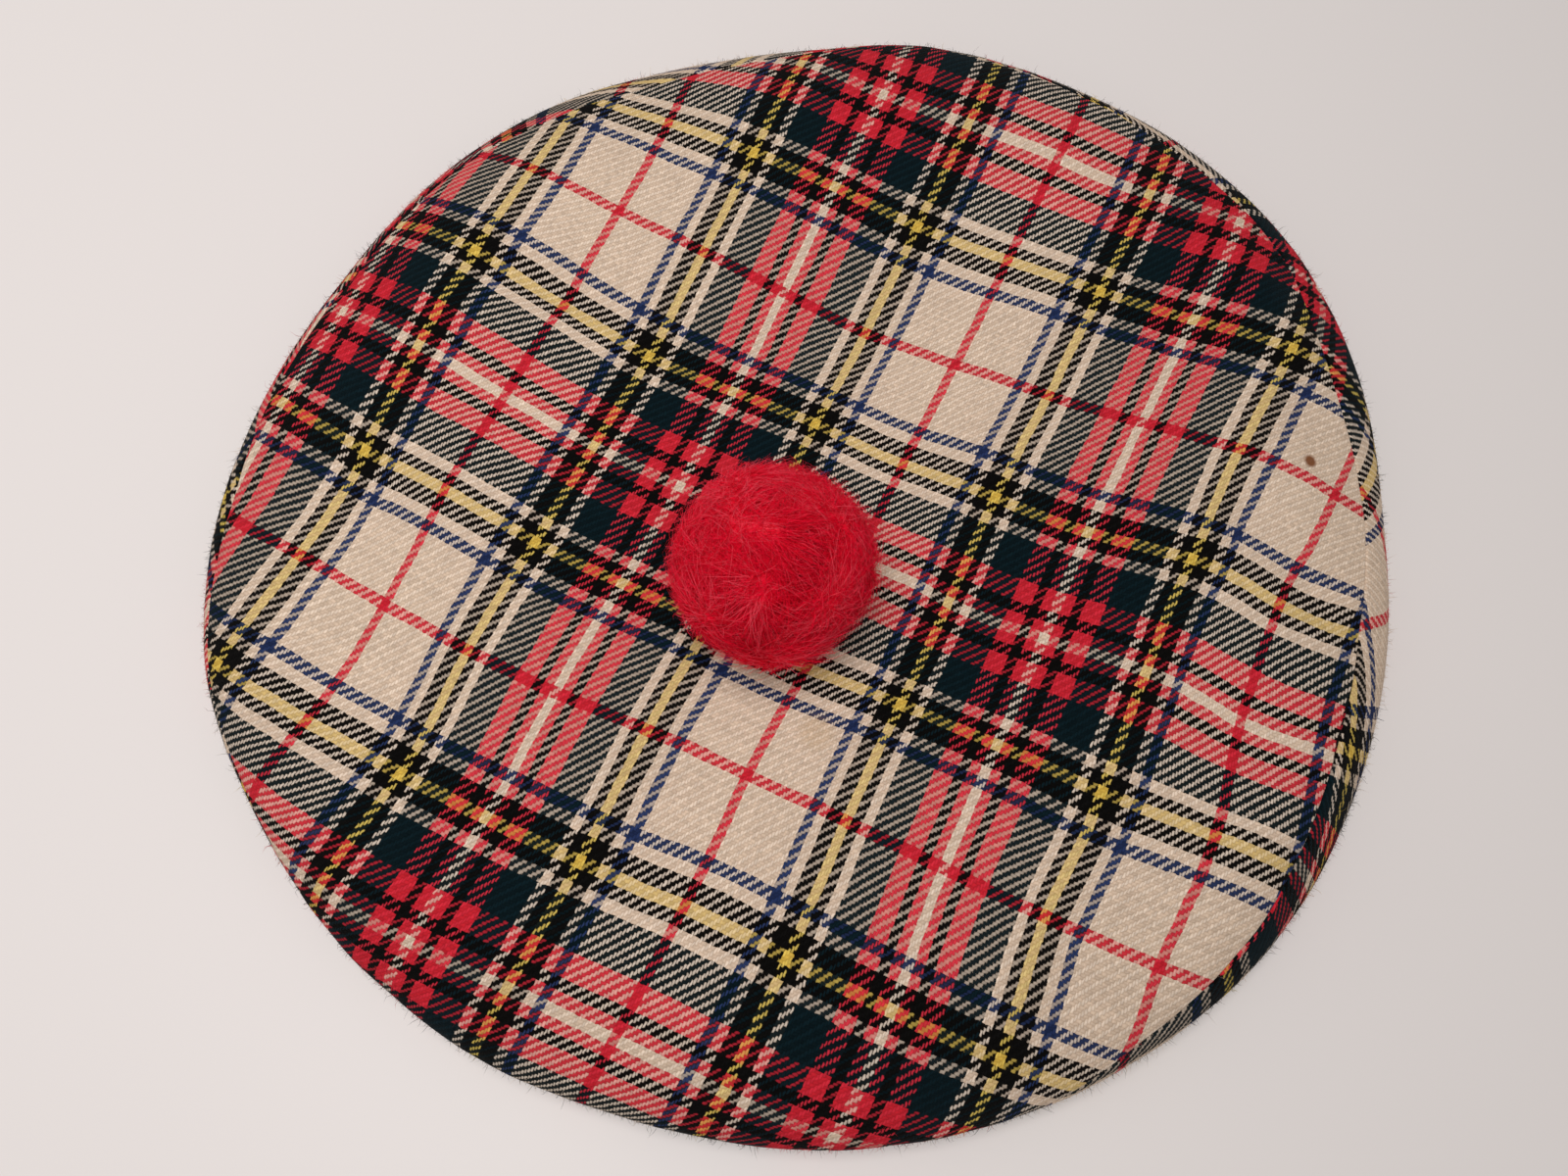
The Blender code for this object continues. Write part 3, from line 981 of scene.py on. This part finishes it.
def unevenly_dyed(tree, colour, warp_shows, warp, weft, whole):
    """A colour that differs a little from yarn to yarn, and from float to float."""
    number = add(tree, "Mix", {"Factor": warp_shows, "A": weft, "B": warp})
    count = add(tree, "Math", {0: warp_shows, 1: WARP_COUNT_FROM, 2: number}, operation="MULTIPLY_ADD")
    luck = add(tree, "TexWhiteNoise", {"W": count}, noise_dimensions="1D")
    chance = add(tree, "TexWhiteNoise", {"Vector": whole}, noise_dimensions="2D")
    shares = [
        add(tree, "MapRange", {"Value": value, "To Min": 1 - uneven, "To Max": 1 + uneven})
        for value, uneven in ((luck, UNEVEN_YARN), (chance, UNEVEN_FLOAT))
    ]
    both = add(tree, "Math", {0: shares[0], 1: shares[1]}, operation="MULTIPLY")
    return add(
        tree, "Mix", {"Factor": 1.0, "A": colour, "B": both}, data_type="RGBA", blend_type="MULTIPLY",
    )


def stained(tree, colour):
    """A colour with the stains on it, at their places on the hat as seen from above."""
    seen = add(tree, "TexCoord", {}).outputs["Object"]
    above = add(tree, "VectorMath", {0: seen, 1: (1.0, 1.0, 0.0)}, operation="MULTIPLY")
    for row in STAINS:
        stain = dict(zip(STAIN_COLUMNS, row))
        middle = (stain["x"] * MM, stain["y"] * MM, 0.0)
        apart = add(tree, "VectorMath", {0: above, 1: middle}, operation="DISTANCE")
        near, far = [share * stain["radius"] * MM for share in STAIN_EDGE]
        span = {"From Min": near, "From Max": far, "To Min": stain["share"], "To Max": 0.0}
        soaked = add(tree, "MapRange", {"Value": apart, **span})
        colour = add(
            tree, "Mix", {"Factor": soaked, "A": colour, "B": linear(stain["colour"])}, data_type="RGBA",
        )
    return colour


def tartan_wool():
    """Two by two twill of dyed wool yarn, woven in a tartan sett and lightly brushed.

    The eye gets slanting ribs of short rounded floats, solid colour where a yarn crosses its own colour
    and broken colour elsewhere, and a soft matt face.
    """
    made, tree, shader = new_material("tartan wool twill", 0.9, 0.01)
    shader.inputs["Specular IOR Level"].default_value = 0.04
    cloth = add(tree, "UVMap", {}, uv_map="cloth")
    place = wandering(tree, cloth)
    threads = add(tree, "VectorMath", {0: place, 1: (WARP_PITCH, WEFT_PITCH, 1.0)}, operation="DIVIDE")
    whole = add(tree, "VectorMath", {0: threads}, operation="FLOOR")
    numbers = add(tree, "SeparateXYZ", {0: whole})
    parts = add(tree, "SeparateXYZ", {0: add(tree, "VectorMath", {0: threads}, operation="FRACTION")})
    warp, weft = numbers.outputs["X"], numbers.outputs["Y"]
    over_warp, over_weft = parts.outputs["X"], parts.outputs["Y"]
    # The twill: in every four threads the warp is on top at turns 0 and 1 and the weft at 2 and 3, one
    # step on in every row.
    total = add(tree, "Math", {0: warp, 1: weft}, operation="ADD")
    turn = add(tree, "Math", {0: total, 1: 4.0}, operation="FLOORED_MODULO")
    warp_shows = add(tree, "Math", {0: turn, 1: 1.5}, operation="LESS_THAN")
    across = add(tree, "Mix", {"Factor": warp_shows, "A": over_weft, "B": over_warp})
    onward = add(tree, "Mix", {"Factor": warp_shows, "A": over_warp, "B": over_weft})
    bead = bead_rise(tree, turn, onward, across)
    wale = wale_rise(tree, threads)
    ridge = add(tree, "Math", {0: wale}, operation="ABSOLUTE")
    run = add(tree, "Math", {0: warp_shows, 1: WARP_RUN - WEFT_RUN, 2: WEFT_RUN}, operation="MULTIPLY_ADD")
    rope = add(tree, "Mix", {"Factor": run, "A": bead, "B": ridge})
    height = add(tree, "Math", {0: rope, 1: BLUNT_TOP}, operation="POWER")
    risen_wale = add(tree, "Math", {0: wale, 1: WALE, 2: height}, operation="MULTIPLY_ADD")
    colour = woven_colour(tree, warp_shows, [dye_of(tree, warp), dye_of(tree, weft)], rope)
    colour = haired(tree, cloth, colour)
    colour = shaded(tree, colour, risen_wale)
    colour = unevenly_dyed(tree, colour, warp_shows, warp, weft, whole)
    colour = stained(tree, colour)
    tree.links.new(in_use(colour), shader.inputs["Base Color"])
    bump = add(tree, "Bump", {"Height": height, "Distance": YARN_RISE * MM, "Strength": BUMP_STRENGTH})
    tree.links.new(in_use(bump), shader.inputs["Normal"])
    return made


def ribbed_tape():
    """Black cotton tape, woven with a rib across it and folded over.

    The eye gets fine upright ribs, dark and matt.
    """
    made, tree, shader = new_material("black ribbed tape", 0.75, 0.1)
    cloth = add(tree, "SeparateXYZ", {0: add(tree, "UVMap", {}, uv_map="cloth")})
    ribs = add(tree, "Math", {0: cloth.outputs["X"], 1: math.tau / TAPE_RIB}, operation="MULTIPLY")
    rise = add(tree, "Math", {0: ribs}, operation="SINE")
    # Painted shade: the grooves between the ribs are darker than their tops.
    tone = add(tree, "ValToRGB", {"Fac": add(tree, "MapRange", {"Value": rise, "From Min": -1.0})})
    tone.color_ramp.elements[0].color = linear("08080A")
    tone.color_ramp.elements[1].color = linear("1D1C20")
    tree.links.new(in_use(tone), shader.inputs["Base Color"])
    bump = add(tree, "Bump", {"Height": rise, "Distance": TAPE_RISE * MM, "Strength": BUMP_STRENGTH})
    tree.links.new(in_use(bump), shader.inputs["Normal"])
    return made


def brushed_wool():
    """Red wool, combed out until its fibres stand free.

    The eye gets a deep red between the clumps, lighter fibre ends, and a soft glow round the edge. The
    deep red between the clumps and the lighter ends are partly painted shade and painted light, laid in
    the tint along each fibre.
    """
    made, tree, shader = new_material("brushed red wool", 0.7, 0.2)
    shader.inputs["Sheen Tint"].default_value = linear("FF2440")
    place = add(tree, "SeparateXYZ", {0: add(tree, "UVMap", {}, uv_map="fibre")})
    along, tint_and_shade = place.outputs["X"], place.outputs["Y"]
    # Painted light and shade: each fibre is lighter towards its end and darker at its root, deep in the
    # wool.
    ends = add(tree, "Math", {0: along, 1: END_LIGHT, 2: tint_and_shade}, operation="MULTIPLY_ADD")
    tone = add(tree, "ValToRGB", {"Fac": ends})
    stops = tone.color_ramp.elements
    for share, colour in ((0.35, "F4062A"), (0.8, "FF0E3C")):
        stops.new(share).color = linear(colour)
    stops[0].color = linear("A0040F")
    stops[3].color = linear("FF5468")
    tree.links.new(in_use(tone), shader.inputs["Base Color"])
    return made


def make_stage():
    """A plain pale floor, and a camera at the photo's angle."""
    bpy.ops.object.select_all(action="DESELECT")
    bpy.ops.mesh.primitive_plane_add(size=FLOOR_WIDTH, location=(0, 0, 0))
    floor = bpy.context.object
    floor.name = "floor"
    made = bpy.data.materials.new("pale floor")
    made.use_nodes = True
    shader = made.node_tree.nodes["Principled BSDF"]
    shader.inputs["Base Color"].default_value = linear("E1DDDC")
    shader.inputs["Roughness"].default_value = 0.45
    floor.data.materials.append(made)
    seen = bpy.data.cameras.new("camera")
    seen.lens = CAMERA_LENS
    seen.sensor_width = CAMERA_SENSOR
    camera = bpy.data.objects.new("camera", seen)
    camera.location = Vector(CAMERA_PLACE) * MM
    camera.rotation_euler = (math.radians(CAMERA_TILT), 0.0, 0.0)
    bpy.context.scene.collection.objects.link(camera)
    bpy.context.scene.camera = camera


def make_lights():
    """A wide soft lamp over the hat that aims past its left side, and even room light."""
    world = bpy.data.worlds.new("room")
    world.use_nodes = True
    sky = world.node_tree.nodes["Background"]
    sky.inputs["Color"].default_value = linear("F4F0EC")
    sky.inputs["Strength"].default_value = ROOM_LIGHT
    bpy.context.scene.world = world
    bpy.context.scene.view_settings.view_transform = "Standard"
    lamp = bpy.data.lights.new("soft_lamp", "AREA")
    lamp.shape = "DISK"
    lamp.size = LAMP_WIDTH
    lamp.energy = LAMP_POWER
    lamp.color = linear("FFFAF8")[:3]
    place = bpy.data.objects.new("soft_lamp", lamp)
    place.location = LAMP_PLACE
    aim = Vector(LAMP_AIM) - place.location
    place.rotation_euler = aim.to_track_quat("-Z", "Y").to_euler()
    bpy.context.scene.collection.objects.link(place)


def main():
    """Makes every piece and says what it stands for, then sets the stage."""
    section = Section()
    wool = tartan_wool()
    top = make_top(section, wool)
    underside = make_underside(section, wool)
    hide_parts("crown_top")
    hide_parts("crown_underside")
    for piece in (top, underside, make_nap(section, wool)):
        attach(piece, "root")
    band = make_headband(section, ribbed_tape())
    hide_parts("headband")
    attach(band, "root")
    yarn = brushed_wool()
    heart = make_pompom_heart(yarn)
    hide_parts("pompom")
    for piece in [heart] + [make_fibres(coat, yarn) for coat in range(FIBRE_COATS)]:
        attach(piece, "root")
    make_stage()
    make_lights()


main()
